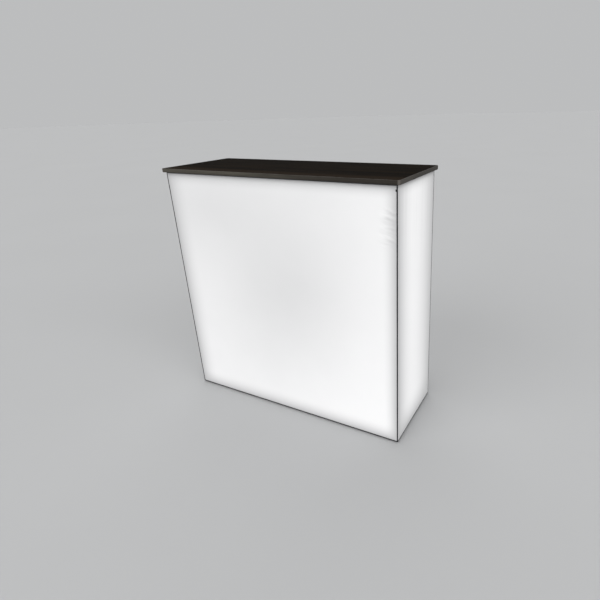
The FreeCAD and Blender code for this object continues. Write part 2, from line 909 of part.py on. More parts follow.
def make_wiring():
    level = lead_level()
    board_top = bar_base + board_thickness
    cap_face = driver_centre + driver_length / 2 + cap_thickness
    axis_depth = half_depth
    gland = base_top + driver_height / 2
    socket_x = inlet_centre + socket_shift
    span = socket_x - cap_face
    reach = axis_depth - inlet_body_depth
    drop = inlet_level - gland
    route_shares = ((0, 0, 0), (0, 0.22, 0), (0.13, 0.55, 0.3), (0.36, 0.85, 0.7), (0.66, 1, 1), (1, 1, 1))
    mains = [
        rear(socket_x - span * x, inlet_body_depth + reach * d, inlet_level - drop * z)
        for x, d, z in route_shares
    ]
    save("mains_lead", lead(mains, mains_radius))

    inner_side = base_bar_line() + connector_width / 2
    near_feed, far_feed = feed_places()
    left_cap = driver_centre - driver_length / 2 - cap_thickness
    span = left_cap + near_feed
    reach = axis_depth - inner_side
    drop = gland - level
    feed_shares = ((0, 0, 0), (0.4, 0, 0), (0.84, 0.1, 0.3), (1, 0.32, 0.7), (1, 0.6, 1), (1, 1, 1))
    feed = [rear(left_cap - span * x, axis_depth - reach * d, gland - drop * z) for x, d, z in feed_shares]

    rest = base_top + lead_radius + lead_rest
    cross = half_depth - inner_side
    link_shares = ((1, 1), (0.82, 1), (0.62, 0), (-0.62, 0), (-0.82, 1), (-1, 1))
    link = [V(far_feed, cross * y, rest + (level - rest) * z) for y, z in link_shares]

    leads = [lead(feed, lead_radius), lead(link, lead_radius)]
    start_u, start_v = half_width - base_bar_half(), base_bar_line()
    end = seat_middle + (board_top + connector_height / 2) / ROOT2
    rise = base_top + post_bar_rise - level
    jump_shares = ((0, 0, 0), (0.42, 0, 0), (0.8, 0.5, 0.18), (1, 1, 0.54), (1, 1, 1))
    for sx, sy in corner_signs():
        route = []
        for u, v, z in jump_shares:
            from_side = start_u + (end - start_u) * u
            from_face = start_v + (end - start_v) * v
            route.append(V(sx * (half_width - from_side), sy * (half_depth - from_face), level + rise * z))
        leads.append(lead(route, lead_radius))
    save("light_leads", *leads)

    clips = []
    for y in (-cross * clip_share, cross * clip_share):
        x0, x1 = far_feed - clip_width / 2, far_feed + clip_width / 2
        top = rest + lead_radius + clip_wall
        saddle = block(x0, x1, y - clip_length / 2, y + clip_length / 2, base_top, top)
        room = (lead_radius + seam) / math.cos(math.pi / fastener_sides)
        hole = rod(V(far_feed, y - clip_length, rest), Y, room, 2 * clip_length)
        clips.append(saddle.cut(hole))
    save("lead_clips", *clips)


os.makedirs("parts", exist_ok=True)
make_frame()
make_feet()
make_worktop()
make_fabrics()
make_base()
make_service_strip()
make_inlet()
make_driver()
make_light_bars()
make_wiring()
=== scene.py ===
"""Looks of the illuminated counter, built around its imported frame.

Metres, +Z up. +X runs along the front, +Y from the front to the rear.
"""
import json
import math

import bpy
from mathutils import Matrix, Vector

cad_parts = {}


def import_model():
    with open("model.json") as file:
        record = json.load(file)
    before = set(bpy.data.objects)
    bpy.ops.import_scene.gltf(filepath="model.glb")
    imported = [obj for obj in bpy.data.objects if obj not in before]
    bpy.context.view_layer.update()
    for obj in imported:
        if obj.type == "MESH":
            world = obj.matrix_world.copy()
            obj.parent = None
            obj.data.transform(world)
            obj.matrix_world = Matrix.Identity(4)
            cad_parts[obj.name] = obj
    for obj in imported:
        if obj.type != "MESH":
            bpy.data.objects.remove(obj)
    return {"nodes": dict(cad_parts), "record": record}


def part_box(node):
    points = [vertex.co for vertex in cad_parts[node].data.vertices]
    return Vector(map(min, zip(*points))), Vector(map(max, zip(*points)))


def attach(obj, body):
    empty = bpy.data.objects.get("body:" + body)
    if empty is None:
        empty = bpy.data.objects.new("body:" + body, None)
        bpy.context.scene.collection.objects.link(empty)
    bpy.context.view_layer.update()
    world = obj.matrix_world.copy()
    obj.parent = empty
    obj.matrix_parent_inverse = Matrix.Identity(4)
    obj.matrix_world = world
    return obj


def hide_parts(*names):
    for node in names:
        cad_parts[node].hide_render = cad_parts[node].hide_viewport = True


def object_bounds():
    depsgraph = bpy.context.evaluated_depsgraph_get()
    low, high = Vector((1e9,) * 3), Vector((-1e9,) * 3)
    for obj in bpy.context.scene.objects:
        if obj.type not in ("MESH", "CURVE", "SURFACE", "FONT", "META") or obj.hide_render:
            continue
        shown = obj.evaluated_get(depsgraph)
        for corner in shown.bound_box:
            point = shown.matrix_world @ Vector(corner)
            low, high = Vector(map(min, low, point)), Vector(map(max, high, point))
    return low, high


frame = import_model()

cad_low, cad_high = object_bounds()

MM = 0.001
ROOT2 = math.sqrt(2)
BLACK = (0.0, 0.0, 0.0)
X, Y, Z = Vector((1, 0, 0)), Vector((0, 1, 0)), Vector((0, 0, 1))
CORNERS = ("front_left", "front_right", "rear_left", "rear_right")

# Camera, fitted to the photograph in its frame of 600 by 600 pixels: angles in degrees, the
# sensor in millimetres
frame_pixels = 600
camera_place = Vector((1.0266, -1.4283, 1.2101))
camera_azimuth = 27.12
camera_pitch = 21.084
camera_roll = -1.587
focal_pixels = 442.94
axis_pixel = (366.34, 276.90)
sensor = 36.0

# Stage and light
floor_rings = (1.5, 4.0, 12.0, 60.0)
floor_sides = 64
floor_colour = (0.50, 0.505, 0.51)
backdrop_colour = (0.505, 0.51, 0.515)
sky_strength = 0.6
LAMPS = {
    "key": (Vector((-0.35, -0.8, 0.5)), 0.94),
    "fill": (Vector((0.85, -0.35, 0.4)), 1.22),
    "rear": (Vector((-0.35, 0.6, 0.9)), 0.5),
}
lamp_spread = math.radians(50)

# Fabric, as made: its thickness, its fold over the lip, and its flap down the groove. The last
# three are how much of a flap is kept where two meet at a corner, and of the fold beside the
# pull tab and where the foot of the rear face crosses the posts.
fabric_thickness = 0.35 * MM
fold_radius = 0.45 * MM
fold_turn = 135
fold_steps = 4
flap_depth = 10.6 * MM
flap_steps = (0.35, 0.7, 1.0)
corner_cut = 25 * MM
corner_flap = 0.3
tab_fold = 0.08
foot_fold = 0.03

# Its mesh: fine in a band along each edge, across the tab and across the creases
fine_step = 3 * MM
coarse_step = 26 * MM
fine_band = 27 * MM

# Creases by the upper right corner of the front: the heights they lie between, how far they
# reach in, and how they follow each other downwards. Each swing is a mean, its change, and the
# rate and phase of that change from one crease to the next: slope, half width, height, drift.
crease_zone = (0.79, 0.915)
crease_reach = 52 * MM
crease_pitch = 23 * MM
crease_count = 5
crease_first = 0.8
crease_taper = 1.2
CREASE_SWINGS = (
    (0.24, 0.2, 1.7, 1.3),
    (5.2 * MM, 1.0 * MM, 3.1, 0.0),
    (2.1 * MM, 0.7 * MM, 5.3, 1.0),
    (0.0, 4 * MM, 2.4, 0.0),
)

# Light through the fabric, added to what its surface reflects. Places run from -1 to 1
# across and up each face. A rim is how far in from an edge the frame dims the cloth. A band
# along the top, under the worktop's overhang, gets painted shade: its colour is darkened and
# its glow dimmed. Each dim spot has its centre, how fast it fades across and up, and its depth.
fabric_colour = (0.50, 0.50, 0.505)
glow_rim = 0.05
glow_middle = 0.312
glow_gain = 0.148
glow_centre = (0.23, 0.14)
glow_pull = (2.26, 1.69)
glow_lean = (0.05, -0.044)
DIM_SPOTS = (((-0.6, 0.7), (1.65, 2.7), 0.061), ((-0.2, -0.09), (1.9, 1.0), 0.065))
glow_side = 0.455
LONG_RIMS = {"left": 98 * MM, "right": 60 * MM, "bottom": 75 * MM, "top": 50 * MM}
SHORT_RIMS = {"left": 148 * MM, "right": 215 * MM, "bottom": 140 * MM, "top": 50 * MM}
overhang_shade_height = 22 * MM
long_overhang_shade = 0.15
short_overhang_shade = 0.33
cloud_shade = 0.04

# Marks in that light: tilted ones by the upper right corner of the long faces, where the
# front has its creases, and upright streaks on the short faces. The levels are where each
# kind starts and is in full, and then where the tilted ones fade and end.
crease_shade = 0.47
crease_tilt = math.radians(-16)
crease_stretch = (14, 14, 52)
crease_edge = (0.845, 0.94)
crease_levels = (0.54, 0.64, 0.79, 0.87)
streak_shade = 0.18
streak_stretch = (75, 75, 1.6)
streak_levels = (0.1, 0.8)

# Wood grain: layers of noise drawn out along X, and how they are mixed
FIGURE = {"scale": 2.6, "stretch": (1, 15, 15), "detail": 7.0, "rough": 0.62, "bend": 0.9}
FIBRE = {"scale": 16.0, "stretch": (1, 42, 42), "detail": 5.0, "rough": 0.7}
PORES = {"scale": 30.0, "stretch": (1, 26, 26), "detail": 3.0, "rough": 0.6}
figure_share = 0.6
fibre_share = 0.4
grain_span = (0.36, 0.62)
pore_span = (0.58, 0.68)
pore_share = 0.55
pore_tone = 0.45

# Laminate: a rubbed band along the front of the board; wear and painted highlight on the edge
# band's arris, its corners and the stretch beside the front right one; where across the edge
# band its tone darkens; and how far down from its top the painted shade at its foot starts and
# is full. The shares say how strongly each shows.
rubbed_band = (35 * MM, 85 * MM)
rubbed_band_share = 0.75
arris_wear_and_highlight = (1.4 * MM, 0.3 * MM)
arris_wear_and_highlight_share = 0.6
corner_wear_and_highlight = 9 * MM
side_wear_and_highlight = (-0.13, -0.02)
side_wear_and_highlight_share = 0.25
right_darkening_span = (-0.2, 0.36)
right_darkening_share = 0.95
foot_shade_depths = (7 * MM, 15 * MM)
foot_shade_share = 0.3

# Pull tab: the line of its ribbon, in millimetres in from the lip's edge and deep, from the
# groove over the edge of the cloth and back; the gap left for it, and how far it stays inside
TAB_LINE = (
    (8.5, 8.5), (1.2, 1.2), (0.25, 0.15), (0.2, -0.25), (1.2, -0.42), (3.0, -0.4),
    (3.4, -0.62), (2.9, -0.95), (1.6, -1.0), (-0.2, -0.85), (-0.32, -0.2), (-0.1, 0.3),
)
tab_thickness = 0.25 * MM
tab_rows = 8
tab_gap = 0.3 * MM
tab_inside = 0.5 * MM

# Screws, pegs, feet and lenses
screw_shank = 9 * MM
screw_radius = 1.6 * MM
screw_pitch = 1.0 * MM
shank_overlap = 0.2 * MM
thread_flank = 1.35
thread_steps = 6
grub_radius = 2.95 * MM
grub_key = 3 * MM
peg_radius = 3.96 * MM
peg_shank = 10 * MM
peg_shank_radius = 2.9 * MM
stud_radius = 3.92 * MM
stud_root = 3.25 * MM
stud_pitch = 1.25 * MM
pad_bore = 4.15 * MM
pad_flutes = 14
flute_depth = 0.075
pad_sides = 84
lens_radius = 4.4 * MM
lens_height = 3.5 * MM
lens_ring = 0.85 * MM


# Geometry


class Shape:
    """Points and faces gathered from several parts, to become one mesh."""

    def __init__(self):
        self.points = []
        self.faces = []

    def add(self, points, faces, place=Matrix()):
        start = len(self.points)
        self.points += [place @ Vector(p) for p in points]
        self.faces += [[start + k for k in face] for face in faces]
        return self

    def object(self, name):
        mesh = bpy.data.meshes.new(name)
        mesh.from_pydata(self.points, [], self.faces)
        mesh.validate()
        made = bpy.data.objects.new(name, mesh)
        bpy.context.scene.collection.objects.link(made)
        return made


def rings_mesh(rings, closed=False):
    """A skin over rings of as many points each, with flat ends or closed on its first ring."""
    count = len(rings[0])
    points = [p for ring in rings for p in ring]
    faces = []
    for j in range(len(rings) if closed else len(rings) - 1):
        first = j * count
        second = (j + 1) % len(rings) * count
        for i in range(count):
            k = (i + 1) % count
            faces.append([first + i, first + k, second + k, second + i])
    if not closed:
        faces.append([*reversed(range(count))])
        faces.append([*range(len(points) - count, len(points))])
    return points, faces


def grid_faces(first, columns, rows, turned=False):
    """Faces over a grid of points that starts at first; turned ones look the other way."""
    faces = []
    for j in range(rows - 1):
        for i in range(columns - 1):
            a = first + j * columns + i
            others = [a + 1, a + columns + 1, a + columns]
            faces.append([a, *reversed(others)] if turned else [a, *others])
    return faces


def loop_faces(loop, ring):
    """Faces between two closed rows of point numbers."""
    faces = []
    for k in range(len(ring)):
        n = (k + 1) % len(ring)
        faces.append([loop[n], loop[k], ring[k], ring[n]])
    return faces


def circle(radius, height, sides, wave=None):
    """A level ring of points; wave scales its radius by the angle."""
    points = []
    for k in range(sides):
        turn = 2 * math.pi * k / sides
        reach = radius * (wave(turn) if wave else 1)
        points.append((reach * math.cos(turn), reach * math.sin(turn), height))
    return points


def lathe(profile, sides):
    """A turning about Z through (radius, height), from its lower end to its upper."""
    return rings_mesh([circle(radius, height, sides) for radius, height in profile])


def facing(place, direction):
    """A matrix that puts local Z along direction at place."""
    turn = direction.to_track_quat("Z", "Y").to_matrix().to_4x4()
    return Matrix.Translation(place) @ turn


def carve(solid, cutter):
    """The points and faces of solid less cutter."""
    kept, tool = solid.object("carved"), cutter.object("tool")
    cut = kept.modifiers.new("cut", "BOOLEAN")
    cut.operation = "DIFFERENCE"
    cut.solver = "EXACT"
    cut.object = tool
    graph = bpy.context.evaluated_depsgraph_get()
    mesh = bpy.data.meshes.new_from_object(kept.evaluated_get(graph))
    result = [tuple(v.co) for v in mesh.vertices], [list(p.vertices) for p in mesh.polygons]
    for extra in (kept, tool):
        bpy.data.objects.remove(extra)
    bpy.data.meshes.remove(mesh)
    return result


def shade(made, angle):
    """Smooth shading, with edges sharper than angle kept hard."""
    mesh = made.data
    mesh.shade_smooth()
    mesh.set_sharp_from_angle(angle=math.radians(angle))


def part_boxes(node):
    """The low and high corner of each loose part of a CAD node, in a steady order."""
    mesh = frame["nodes"][node].data
    weld = MM / 100
    parent = list(range(len(mesh.vertices)))

    def root(k):
        while parent[k] != k:
            parent[k] = parent[parent[k]]
            k = parent[k]
        return k

    places = {}
    for vertex in mesh.vertices:
        key = tuple(round(c / weld) for c in vertex.co)
        first = places.setdefault(key, vertex.index)
        parent[root(vertex.index)] = root(first)
    for edge in mesh.edges:
        parent[root(edge.vertices[0])] = root(edge.vertices[1])
    groups = {}
    for vertex in mesh.vertices:
        groups.setdefault(root(vertex.index), []).append(vertex.co)
    boxes = []
    for points in groups.values():
        low = Vector([min(p[k] for p in points) for k in range(3)])
        high = Vector([max(p[k] for p in points) for k in range(3)])
        boxes.append((low, high))
    return sorted(boxes, key=lambda box: tuple(round(c, 5) for c in (*box[0], *box[1])))


# Materials


class Nodes:
    """A node tree; its helpers take sockets or plain values, and most return a socket."""

    def __init__(self, tree):
        self.tree = tree

    def node(self, kind, inputs=(), **settings):
        made = self.tree.nodes.new(kind)
        for label, value in settings.items():
            setattr(made, label, value)
        for label, value in dict(inputs).items():
            self.put(made.inputs[label], value)
        return made

    def put(self, socket, value):
        if isinstance(value, bpy.types.NodeSocket):
            self.tree.links.new(value, socket)
        elif socket.type == "RGBA" and len(value) == 3:
            socket.default_value = (*value, 1)
        else:
            socket.default_value = value

    def math(self, operation, first, second=0.0, third=0.0):
        made = self.node("ShaderNodeMath", {0: first, 1: second, 2: third}, operation=operation)
        return made.outputs[0]

    def plus(self, first, second):
        return self.math("ADD", first, second)

    def minus(self, first, second):
        return self.math("SUBTRACT", first, second)

    def times(self, first, second):
        return self.math("MULTIPLY", first, second)

    def swing(self, noise, depth):
        """A noise drawn about zero, to a depth."""
        return self.times(self.minus(noise, 0.5), depth)

    def blend(self, share, first, second):
        made = self.node("ShaderNodeMix", data_type="RGBA")
        self.put(made.inputs[0], share)
        self.put(made.inputs[6], first)
        self.put(made.inputs[7], second)
        return made.outputs[2]


class Surface(Nodes):
    """A material on object coordinates; plain values stay on its shader."""

    def __init__(self, name, **plain):
        self.material = bpy.data.materials.new(name)
        self.material.use_nodes = True
        super().__init__(self.material.node_tree)
        self.shader = self.tree.nodes["Principled BSDF"]
        for label, value in plain.items():
            self.shader.inputs[label.replace("_", " ")].default_value = value
        self.place = self.node("ShaderNodeTexCoord").outputs["Object"]

    def stretched(self, scale, tilt=0.0):
        place = self.place
        if tilt:
            turned = self.node("ShaderNodeMapping", {"Vector": place, "Rotation": (0, tilt, 0)})
            place = turned.outputs[0]
        return self.node("ShaderNodeMapping", {"Vector": place, "Scale": scale}).outputs[0]

    def noise(self, scale, stretch=(1, 1, 1), detail=3.0, rough=0.5, bend=0.0, tilt=0.0):
        inputs = {
            "Vector": self.stretched(stretch, tilt),
            "Scale": scale,
            "Detail": detail,
            "Roughness": rough,
            "Distortion": bend,
        }
        return self.node("ShaderNodeTexNoise", inputs).outputs["Fac"]

    def span(self, value, low, high, out_low=0.0, out_high=1.0, smooth=True):
        inputs = {"Value": value, "From Min": low, "From Max": high}
        inputs.update({"To Min": out_low, "To Max": out_high})
        kind = "SMOOTHSTEP" if smooth else "LINEAR"
        return self.node("ShaderNodeMapRange", inputs, interpolation_type=kind).outputs[0]

    def axes(self):
        parts = self.node("ShaderNodeSeparateXYZ", {"Vector": self.place})
        return parts.outputs[0], parts.outputs[1], parts.outputs[2]

    def colour(self, value):
        self.put(self.shader.inputs["Base Color"], value)
        return self

    def roughness(self, value, low, high):
        """Roughness from low to high over the range where most of a noise lies."""
        rough = self.span(value, 0.3, 0.7, low, high, smooth=False)
        self.put(self.shader.inputs["Roughness"], rough)

    def relief(self, height, depth, strength):
        inputs = {"Height": height, "Distance": depth, "Strength": strength}
        self.put(self.shader.inputs["Normal"], self.node("ShaderNodeBump", inputs).outputs[0])
        return self


def shades(colour, spread):
    """A darker and a lighter form of a colour."""
    return tuple(c * (1 - spread) for c in colour), tuple(min(1, c * (1 + spread)) for c in colour)


def grained(name, colour, low, high, grain, depth, spread, tone_scale, gloss_scale, **plain):
    """Fine grain, and slow changes of tone and gloss."""
    s = Surface(name, **plain)
    dark, light = shades(colour, spread)
    s.colour(s.blend(s.noise(tone_scale, detail=5.0), dark, light))
    s.roughness(s.noise(gloss_scale), low, high)
    return s.relief(s.noise(grain, detail=2.0), depth, strength=0.5)


def moulded(name, colour, low, high, grain=900.0, depth=0.05 * MM, **plain):
    """Moulded plastic or rubber."""
    scales = {"spread": 0.14, "tone_scale": 14.0, "gloss_scale": 60.0}
    return grained(name, colour, low, high, grain, depth, **scales, **plain)


def cast(name, colour, low, high, grain=420.0, depth=0.08 * MM):
    """Cast or plated metal with no direction of its own."""
    scales = {"spread": 0.15, "tone_scale": 30.0, "gloss_scale": 75.0}
    return grained(name, colour, low, high, grain, depth, **scales, Metallic=1.0)


def metal(name, colour, low, high, stretch, scale=160.0, depth=0.02 * MM):
    """Bare or anodised metal, drawn along the axis that stretch leaves long."""
    s = Surface(name, Metallic=1.0)
    dark, light = shades(colour, spread=0.12)
    streaks = s.noise(scale, stretch, detail=4.0, rough=0.6)
    cloud = s.noise(scale=9.0, detail=4.0)
    s.colour(s.blend(s.times(streaks, cloud), light, dark))
    s.roughness(s.noise(scale, stretch, detail=2.0), low, high)
    return s.relief(streaks, depth, strength=0.6)


def coated(name, colour, low, high):
    """A sprayed or powder coat, with its fine orange peel and faint rubbing."""
    s = Surface(name)
    dark, light = shades(colour, spread=0.07)
    rub = s.span(s.noise(scale=5.0, detail=6.0, rough=0.65), 0.45, 0.7)
    s.colour(s.blend(rub, light, dark))
    s.roughness(rub, low, high)
    return s.relief(s.noise(scale=700.0, detail=1.0), 0.04 * MM, strength=0.5)


def wood_grain(name, dark, light, low, high, **plain):
    """Printed wood grain that runs along X, embossed to match: the surface and its tone."""
    s = Surface(name, **plain)
    figure = s.noise(**FIGURE)
    fibre = s.noise(**FIBRE)
    pores = s.span(s.noise(**PORES), *pore_span)
    mixed = s.plus(s.times(figure, figure_share), s.times(fibre, fibre_share))
    body = s.blend(s.span(mixed, *grain_span), dark, light)
    s.roughness(fibre, low, high)
    s.relief(s.minus(s.times(fibre, fibre_share), pores), 0.06 * MM, strength=0.6)
    return s, s.blend(s.times(pores, pore_share), body, tuple(c * pore_tone for c in dark))


def laminate(name, dark, light, pale, low, high, **plain):
    """Wood grain that is a little paler in a band along the front, where hands rub it."""
    s, grain = wood_grain(name, dark, light, low, high, **plain)
    front = s.span(s.axes()[1], cad_low.y + rubbed_band[1], cad_low.y + rubbed_band[0])
    return s.colour(s.blend(s.times(front, rubbed_band_share), grain, pale))


def edge_laminate(name, dark, light, right_tone, pale, low, high, **plain):
    """Wood grain in a band: darker rightwards, painted shade low, wear and painted highlight at edges.
    """
    s, grain = wood_grain(name, dark, light, low, high, **plain)
    x, y, z = s.axes()
    # The tone darkens towards the right.
    tone = s.blend(s.times(s.span(x, *right_darkening_span), right_darkening_share), grain, right_tone)
    # Painted shade: the band darkens towards its foot.
    below = s.span(z, *(cad_high.z - depth for depth in foot_shade_depths))
    tone = s.blend(s.times(below, foot_shade_share), tone, BLACK)

    def near_end(place, end):
        return s.span(place, end - corner_wear_and_highlight, end - corner_wear_and_highlight / 2)

    # Paler arris, corners and stretch beside the front right corner: wear, and painted highlight where
    # light catches them.
    arris = s.span(z, *(cad_high.z - depth for depth in arris_wear_and_highlight))
    patches = s.span(s.noise(scale=45.0, detail=5.0), 0.35, 0.65)
    arris = s.times(s.times(arris, patches), arris_wear_and_highlight_share)
    end_x = near_end(s.math("ABSOLUTE", x), cad_high.x)
    end_y = near_end(s.math("ABSOLUTE", y), cad_high.y)
    wear_and_highlight = s.math("MAXIMUM", arris, s.times(end_x, end_y))
    side = s.times(near_end(x, cad_high.x), s.span(y, side_wear_and_highlight[1], side_wear_and_highlight[0]))
    wear_and_highlight = s.math("MAXIMUM", wear_and_highlight, s.times(side, side_wear_and_highlight_share))
    return s.colour(s.blend(wear_and_highlight, tone, pale))


def woven(name, colour, pitch, depth):
    """A plain weave: two sets of threads that cross, a pitch apart."""
    s = Surface(name)
    x, y, z = s.axes()
    turns = 2 * math.pi / pitch
    warp = s.math("SINE", s.times(s.plus(x, y), turns))
    weft = s.math("SINE", s.times(z, turns))
    cloth = s.times(warp, weft)
    dark, light = shades(colour, spread=0.3)
    s.colour(s.blend(s.span(cloth, -1.0, 1.0), dark, light))
    s.roughness(s.noise(scale=80.0), 0.75, 0.9)
    return s.relief(cloth, depth, strength=0.6)


def circuit(name):
    """White solder mask of uneven gloss, with pale copper tracks under it."""
    s = Surface(name)
    mask, copper = (0.82, 0.83, 0.81), (0.66, 0.72, 0.66)
    x, y, z = s.axes()
    rows = s.math("PINGPONG", s.plus(s.plus(x, y), z), 6 * MM)
    tracks = s.span(rows, 2.2 * MM, 2.6 * MM)
    s.colour(s.blend(s.times(tracks, 0.5), mask, copper))
    s.roughness(s.noise(scale=120.0), 0.3, 0.5)
    return s.relief(tracks, 0.03 * MM, strength=0.5)


def lens_plastic(name):
    """Clear moulded optics, lit by the diode under each."""
    s = Surface(name, Transmission_Weight=0.35, IOR=1.49, Emission_Strength=0.9)
    flow = s.noise(scale=220.0)
    s.colour(s.blend(flow, (0.86, 0.88, 0.9), (0.95, 0.96, 0.97)))
    s.put(s.shader.inputs["Emission Color"], s.blend(flow, (0.85, 0.88, 0.92), (1.0, 1.0, 1.0)))
    s.roughness(flow, 0.08, 0.18)
    return s.relief(flow, 0.02 * MM, strength=0.4)


# Faces of the light box

FACES = {
    "front": (X, Y),
    "right": (Y, -X),
    "rear": (-X, -Y),
    "left": (-Y, X),
}
box_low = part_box("post_front_left")[0]
box_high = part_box("post_rear_right")[1]
middle = (box_low + box_high) / 2
post_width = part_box("post_front_left")[1].x - box_low.x
edge_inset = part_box("front_fabric")[0].x - box_low.x
cloth_start = edge_inset + (1 + ROOT2) * fold_radius


def face_frame(side):
    """Origin at the face's lower left, its directions, width and height, as seen from outside."""
    along, inward = FACES[side]
    half = (box_high - box_low) / 2
    width = 2 * abs(half.dot(along))
    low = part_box(side + "_fabric")[0].z - edge_inset
    start = middle - along * (width / 2) - inward * abs(half.dot(inward))
    return Vector((start.x, start.y, low)), along, inward, width, box_high.z - low


def grid_lines(start, end, fine):
    """Places from start to end, closer together inside the fine ranges."""
    marks = sorted({start, end, *(m for pair in fine for m in pair if start < m < end)})
    places = [start]
    for a, b in zip(marks, marks[1:]):
        inside = any(low <= (a + b) / 2 <= high for low, high in fine)
        count = max(1, round((b - a) / (fine_step if inside else coarse_step)))
        places += [a + (b - a) * (k + 1) / count for k in range(count)]
    return places


def creases(side, u, z, width):
    """How far the cloth stands out: short creases where the front's last edge was tucked in."""
    from_edge = width - u
    if side != "front" or from_edge > crease_reach:
        return 0.0
    ends = math.sin(math.pi * from_edge / crease_reach) ** crease_taper
    lift = 0.0
    for k in range(crease_count):
        slope, half, height, drift = (
            mean + change * math.sin(rate * k + phase) for mean, change, rate, phase in CREASE_SWINGS
        )
        level = crease_zone[1] - crease_pitch * (k + crease_first) + drift
        offset = (z - level - slope * (from_edge - crease_reach / 3)) / half
        lift += height * ends * math.exp(-offset * offset)
    return lift


def tab_range(side):
    """Lower and upper end of the gap for the pull tab, above the foot of its face."""
    low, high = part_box("pull_tabs")
    foot = face_frame(side)[0].z
    return low.z - foot - tab_gap, high.z - foot + tab_gap


def fold_shares(side, u, z, width, height, tab):
    """Shares of the fold and of the flap below it: 1 in the groove, less where the cloth is cut."""
    from_side = min(u, width - u)
    from_end = min(z, height - z)
    flap = corner_flap if from_side < corner_cut and from_end < corner_cut else 1.0
    if side == "rear" and z < fine_band and from_side < post_width:
        return foot_fold, flap
    if width - u < fine_band and tab[0] < z < tab[1]:
        return tab_fold, flap
    return 1.0, flap


def cloth_grid(side):
    """Places across and up a face of cloth for the points of its mesh."""
    origin, _, _, width, height = face_frame(side)
    fine_across = [(0, fine_band), (width - fine_band, width)]
    fine_up = [(0, fine_band), (height - fine_band, height), tab_range(side)]
    if side == "front":
        fine_across[1] = (width - crease_reach, width)
        fine_up.append(tuple(level - origin.z for level in crease_zone))
    across = grid_lines(cloth_start, width - cloth_start, fine_across)
    return across, grid_lines(cloth_start, height - cloth_start, fine_up)


def cloth_section():
    """Rows of points from the front's rim round to the back's, and the place of the fold's end.

    A row has its inset, its depth, its depth where there is no fold, and whether it is flap.
    """
    inner = fabric_thickness * ROOT2
    fold = []
    for k in range(1, fold_steps + 1):
        turn = math.radians(90 + fold_turn * k / fold_steps)
        inset = cloth_start + fold_radius * math.cos(turn)
        fold.append((inset, fold_radius * (1 - math.sin(turn))))
    flap = [(edge_inset + flap_depth * share, flap_depth * share) for share in flap_steps]
    for depth in (flap_depth - inner / 2, flap_depth / 2):
        flap.append((edge_inset + inner + depth, depth))
    rows = [(inset, depth, 0.0, False) for inset, depth in fold]
    rows += [(inset, depth, 0.0, True) for inset, depth in flap]
    rows.append((edge_inset + inner + fabric_thickness, fabric_thickness, fabric_thickness, False))
    return rows, fold[-1]


def grid_border(columns, rows):
    """The column and row of each point round a grid, from its lower left."""
    border = [(i, 0) for i in range(columns - 1)]
    border += [(columns - 1, j) for j in range(rows - 1)]
    border += [(i, rows - 1) for i in range(columns - 1, 0, -1)]
    border += [(0, j) for j in range(rows - 1, 0, -1)]
    return border


def stretched_fabric(side):
    """A face of cloth: stretched front, fold over the lip, flap in the groove, and its back."""
    origin, along, inward, width, height = face_frame(side)
    us, zs = cloth_grid(side)
    nu, nz = len(us), len(zs)
    border = grid_border(nu, nz)
    tab = tab_range(side)
    shares = [fold_shares(side, us[i], zs[j], width, height, tab) for i, j in border]
    rows, (fold_inset, fold_depth) = cloth_section()

    def world(u, z, depth):
        return origin + along * u + Z * z + inward * depth

    def layer(depth):
        """The whole grid at a depth, with its creases."""
        return [world(u, z, depth - creases(side, u, z + origin.z, width)) for z in zs for u in us]

    def inset_place(i, j, inset):
        """A border point of the grid, drawn in or out to another inset."""
        share_u = (us[i] - cloth_start) / (width - 2 * cloth_start)
        share_z = (zs[j] - cloth_start) / (height - 2 * cloth_start)
        return inset + share_u * (width - 2 * inset), inset + share_z * (height - 2 * inset)

    points = layer(0)
    faces = grid_faces(0, nu, nz)
    loop = [j * nu + i for i, j in border]
    for inset, depth, base, in_flap in rows:
        ring = list(range(len(points), len(points) + len(border)))
        for (i, j), (fold_share, flap_share) in zip(border, shares):
            kept = flap_share if in_flap else 1.0
            inset_kept = inset + (fold_inset - inset) * (1 - kept)
            depth_kept = depth + (fold_depth - depth) * (1 - kept)
            moved = cloth_start + (inset_kept - cloth_start) * fold_share
            points.append(world(*inset_place(i, j, moved), base + (depth_kept - base) * fold_share))
        faces += loop_faces(loop, ring)
        loop = ring
    first = len(points)
    points += layer(fabric_thickness)
    faces += grid_faces(first, nu, nz, turned=True)
    faces += loop_faces(loop, [first + j * nu + i for i, j in border])
    made = Shape().add(points, faces).object(side + "_stretched_fabric")
    shade(made, angle=50)
    return made, (width, height)


def rim(s, place, half, low_reach, high_reach):
    """From 0 at either edge of the cloth to 1 at a reach from the edge of its face, easing out."""
    inside = 1.0
    for sign, reach in ((1.0, low_reach), (-1.0, high_reach)):
        distance = s.times(s.math("MULTIPLY_ADD", place, sign, 1.0), half)
        share = s.span(distance, edge_inset, reach, smooth=False)
        inside = s.times(s.times(share, s.minus(2.0, share)), inside)
    return inside


def away_from(s, places, spot, pull):
    """The squared distance from a spot, stretched by pull."""
    total = 0.0
    for place, centre, stretch in zip(places, spot, pull):
        offset = s.times(s.minus(place, centre), stretch)
        total = s.math("MULTIPLY_ADD", offset, offset, total)
    return total


def long_face_glow(s, places):
    """Light through the front or rear: less towards its middle and in the dim spots."""
    radial = away_from(s, places, glow_centre, glow_pull)
    spread = s.math("DIVIDE", radial, s.plus(radial, 1.0))
    field = s.math("MULTIPLY_ADD", spread, glow_gain, glow_middle)
    for spot, pull, depth in DIM_SPOTS:
        fall = s.plus(away_from(s, places, spot, pull), 1.0)
        field = s.minus(field, s.math("DIVIDE", depth, s.times(fall, fall)))
    for place, lean in zip(places, glow_lean):
        field = s.math("MULTIPLY_ADD", place, lean, field)
    return field


